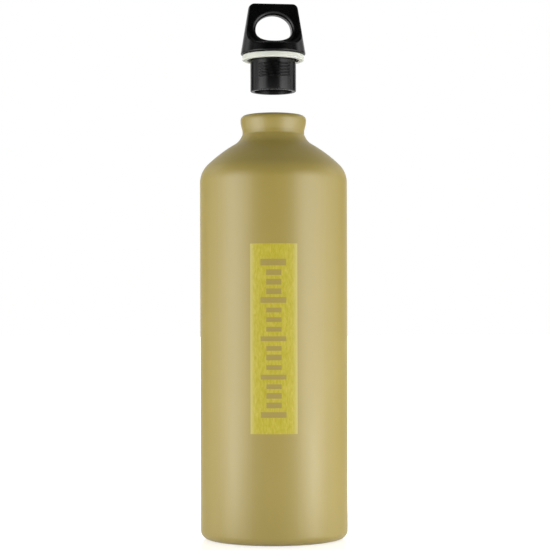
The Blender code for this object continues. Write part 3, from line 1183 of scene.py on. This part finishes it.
@dataclass
class StopperGrip:
    """The stopper above its plug: a tapered round, hollowed in front and behind to leave a finger loop."""

    neck: Neck
    height: float = 27.5 * MM
    taper: float = math.radians(9.5)
    corner: float = 3.0 * MM
    flange_edge: float = 0.5 * MM
    shelf: float = 4.7 * MM
    top_thickness: float = 6.0 * MM
    foot_thickness: float = 11.8 * MM
    scoop_flat_share: float = 0.46
    scoop_corner: float = 7.0 * MM
    scoop_side: float = math.radians(60.0)
    cove: float = 2.5 * MM
    edge: float = 0.9 * MM
    top_bar: float = 6.2 * MM
    side_bar: float = 5.7 * MM
    sill: float = 2.6 * MM
    hole_edge: float = 2.2 * MM
    widest_share: float = 0.4
    top_power: float = 2.0
    bottom_power: float = 2.5
    least: float = 1e-6
    cell: float = 0.3 * MM

    def radius_at(self, height: Any) -> Any:
        """Give the tapered round's radius at a height above the flange's underside."""
        return self.neck.flange_radius - height * math.tan(self.taper)

    def hole(self, across: np.ndarray, height: np.ndarray) -> np.ndarray:
        """Give the distance to the finger hole's outline, seen from the front.

        Args:
            across: Places across the loop.
            height: Heights above the flange's underside.

        Returns:
            The distances, negative in the hole.
        """
        top, bottom = self.height - self.top_bar, self.shelf + self.sill
        widest = bottom + self.widest_share * (top - bottom)
        half_width = self.radius_at(widest) - self.side_bar
        rise = height - widest
        reach = np.where(rise > 0, top - widest, widest - bottom)
        power = np.where(rise > 0, self.top_power, self.bottom_power)
        u = np.maximum(np.abs(across) / half_width, self.least)
        v = np.maximum(np.abs(rise) / reach, self.least)
        size = (u**power + v**power) ** (1 / power)
        slope = np.hypot((u / size) ** (power - 1) / half_width, (v / size) ** (power - 1) / reach)
        return (size - 1) / slope

    def distance(self, x: np.ndarray, y: np.ndarray, z: np.ndarray) -> np.ndarray:
        """Give the distance to the grip's surface, in its own frame with the flange's underside at 0.

        Args:
            x: Places across the loop.
            y: Places from front to back.
            z: Heights.

        Returns:
            The distances, negative inside.
        """
        side = (np.hypot(x, y) - self.radius_at(z)) * math.cos(self.taper)
        round_body = rounded(side, z - self.height, self.corner, math.sin(self.taper))
        round_body = rounded(round_body, -z, self.flange_edge, -math.sin(self.taper))

        span = self.height - self.shelf
        lean = math.atan((self.foot_thickness - self.top_thickness) / 2 / span)
        half = self.foot_thickness / 2 - (z - self.shelf) * math.tan(lean)
        face = (np.abs(y) - half) * math.cos(lean)
        flat = self.scoop_flat_share * self.neck.flange_radius
        sine, cosine = math.sin(self.scoop_side), math.cos(self.scoop_side)
        start_x = flat + self.scoop_corner * sine
        start_z = self.shelf + self.scoop_corner * (1 - cosine)
        cheek = (np.abs(x) - start_x) * sine - (z - start_z) * cosine
        view = rounded(self.shelf - z, cheek, self.scoop_corner, cosine)
        scoop = rounded(-face, view, self.cove)
        body = rounded(round_body, -scoop, self.edge)
        return rounded(body, -self.hole(x, z), self.hole_edge)

    def build(self, plastic: Material) -> None:
        """Model the grip and hand it over.

        Args:
            plastic: Its finish.
        """
        margin = 2 * self.cell
        reach = self.neck.flange_radius + margin
        across = np.arange(-reach, reach + self.cell, self.cell)
        upright = np.arange(-margin, self.height + margin + self.cell, self.cell)
        points, quads = surface_net(self.distance, [across, across, upright])
        mesh = bpy.data.meshes.new("stopper_grip")
        mesh.from_pydata(points.tolist(), [], quads.tolist())
        place = Matrix.Translation((0.0, 0.0, self.neck.flange_place))
        mesh.transform(place @ Matrix.Rotation(self.neck.yaw, 4, "Z"))
        mesh.shade_smooth()
        mesh.materials.append(plastic)
        hand_over(add_object("stopper_grip", mesh), Body.STOPPER, ("cap",))


@dataclass(frozen=True)
class Softbox:
    """A soft light beside the bottle, outside the picture and facing the axis. Angles are in degrees.

    Tall ones draw the light bands down the body. Low and high ones fill in the foot and the shoulder,
    and those without gloss stand behind and only light the floor and the back.
    """

    azimuth: float
    radiance: float
    foot: float = 5.0 * MM
    height: float = 0.325
    distance: float = 0.42
    spread: float = 20.0
    in_gloss: bool = True

    def stand(self, name: str) -> None:
        """Stand the light round the bottle, facing it.

        Args:
            name: The light's name.
        """
        lamp = bpy.data.lights.new(name, "AREA")
        lamp.shape = "RECTANGLE"
        lamp.size = 2 * self.distance * math.tan(math.radians(self.spread) / 2)
        lamp.size_y = self.height
        lamp.energy = math.pi * lamp.size * lamp.size_y * self.radiance
        light = add_object(name, lamp)
        azimuth = math.radians(self.azimuth)
        away = Vector((math.sin(azimuth), -math.cos(azimuth), 0.0))
        light.location = self.distance * away + Vector((0.0, 0.0, self.foot + self.height / 2))
        light.rotation_euler = away.to_track_quat("Z", "Y").to_euler()
        light.visible_camera = False
        light.visible_glossy = self.in_gloss


@dataclass
class Studio:
    """A white room that lights the bottle from both sides and leaves its shoulder and stopper darker.

    Each span says where a change begins and where it is complete: shadow_span is a distance from the
    bottle on the floor, front_span a depth on it, and those of the room are shares of a direction.
    """

    focal_pixels: float = 1677.0
    frame_pixels: float = 550.0
    sensor_mm: float = 36.0
    camera_place: tuple[float, float, float] = (0.0, -0.914, 0.1162)
    camera_roll: float = math.radians(0.145)
    shift_right_pixels: float = 1.2
    shift_up_pixels: float = 49.3
    floor_size: float = 30.0
    floor_drop: float = 0.1 * MM
    floor_colour: str = "#E6E6E6"
    floor_roughness: float = 0.12
    floor_glow: Span = (0.55, 1.0)
    shadow_span: Span = (0.05, 0.2)
    mirrored_glow: Span = (1.0, 0.15)
    front_span: Span = (-0.1, 0.1)
    sky: float = 0.265
    sky_span: Span = (0.55, 0.8)
    backdrop: float = 0.77
    backdrop_depth: Span = (0.0, 0.5)
    backdrop_rise: Span = (0.2, 0.35)
    rim_span: Span = (0.7, 0.95)
    softboxes: tuple[Softbox, ...] = (
        Softbox(-45.0, 3.2),
        Softbox(-65.0, 4.1),
        Softbox(-85.0, 1.5),
        Softbox(45.0, 4.3),
        Softbox(65.0, 3.3),
        Softbox(85.0, 1.75),
        Softbox(-58.0, 3.9, height=0.04, distance=0.2),
        Softbox(58.0, 6.0, height=0.04, distance=0.2),
        Softbox(-57.0, 1.6, foot=0.33, height=0.1, spread=40.0),
        Softbox(57.0, 1.4, foot=0.33, height=0.1, spread=40.0),
        Softbox(-107.0, 0.95, height=0.545),
        Softbox(107.0, 1.1, height=0.545),
        Softbox(-150.0, 0.8, height=0.395, in_gloss=False),
        Softbox(180.0, 4.0, height=0.395, in_gloss=False),
        Softbox(150.0, 3.0, height=0.395, in_gloss=False),
    )

    def camera(self) -> None:
        """Set up the camera where the photograph was taken from."""
        lens = bpy.data.cameras.new("camera")
        lens.sensor_width = self.sensor_mm
        lens.lens = self.sensor_mm * self.focal_pixels / self.frame_pixels
        lens.shift_x = self.shift_right_pixels / self.frame_pixels
        lens.shift_y = self.shift_up_pixels / self.frame_pixels
        camera = add_object("camera", lens)
        camera.location = self.camera_place
        camera.rotation_euler = (QUARTER, self.camera_roll, 0.0)
        bpy.context.scene.camera = camera

    def floor(self) -> None:
        """Lay the polished pale floor, which shows white but keeps the object's shadow.

        Gloss and glass show the same white in front of the bottle, and less of it behind.
        """
        half = self.floor_size / 2
        mesh = bpy.data.meshes.new("floor")
        corners = [(-half, -half), (half, -half), (half, half), (-half, half)]
        mesh.from_pydata([(x, y, -self.floor_drop) for x, y in corners], [], [(0, 1, 2, 3)])
        finish = Finish("white_floor")
        finish.dress({"Base Color": linear(self.floor_colour), "Roughness": self.floor_roughness})
        away = finish.add("ShaderNodeVectorMath", (finish.where,), "Value", operation="LENGTH")
        depth = finish.add("ShaderNodeSeparateXYZ", (finish.where,), "Y")
        white = finish.eased(away, self.shadow_span, self.floor_glow)
        seen = finish.seen(finish.eased(depth, self.front_span, self.mirrored_glow))
        glow = finish.add("ShaderNodeEmission", (None, finish.math("MULTIPLY", seen, white)))
        both = finish.add("ShaderNodeAddShader", (finish.shader.outputs[0], glow))
        finish.fill(finish.tree.nodes["Material Output"], {"Surface": both})
        mesh.materials.append(finish.material)
        add_object("floor", mesh)

    def world(self) -> None:
        """Make the room: white to the camera, and else a grey sky, a pale backdrop and dark sides.

        Gloss and glass that look straight back, as at a round piece's rim, show the white too.
        """
        world = bpy.data.worlds.new("studio")
        bpy.context.scene.world = world
        world.use_nodes = True
        room = Nodes(world.node_tree)
        way = room.add("ShaderNodeTexCoord", (), "Generated")
        at = room.node("ShaderNodeSeparateXYZ", (way,)).outputs
        behind = room.eased(at["Y"], self.backdrop_depth, (0.0, self.backdrop))
        wall = room.math("MULTIPLY", behind, room.eased(at["Z"], self.backdrop_rise))
        light = room.add("ShaderNodeMix", (room.eased(at["Z"], self.sky_span), None, wall, self.sky))
        strength = room.math("MAXIMUM", light, room.seen(room.eased(at["Y"], self.rim_span)))
        room.fill(room.tree.nodes["Background"], {"Color": linear("#FFFFFF"), "Strength": strength})

    def build(self) -> None:
        """Set up the whole studio."""
        self.camera()
        self.floor()
        self.world()
        for number, softbox in enumerate(self.softboxes, 1):
            softbox.stand(f"softbox_{number}")
        bpy.context.scene.view_settings.view_transform = "Standard"
        log.info("studio: camera, floor, room and %d softboxes", len(self.softboxes))


def main() -> None:
    """Build the studio and every piece, and log the face count of each piece."""
    logging.basicConfig(level=logging.INFO, format="%(name)s: %(message)s")
    Studio().build()
    neck = Neck()
    moulded, turned = Lathe(Flank.MOULDED), Lathe(Flank.TURNED)
    plastic = MouldedPolypropylene().make()
    shell = BottleShell(neck, turned, PowderCoat().make(), Lacquer().make())
    shell.build()
    panel = PrintedPanel(shell.body_radius)
    panel.build(ScreenInk(panel.body_radius, panel.width, panel.aside).make())
    ThreadInsert(neck, turned, TurnedAluminium().make(), shell).build()
    SealRing(neck, turned, Silicone().make()).build()
    StopperPlug(neck, moulded, plastic).build()
    StopperGrip(neck).build(plastic)


if __name__ == "__main__":
    main()
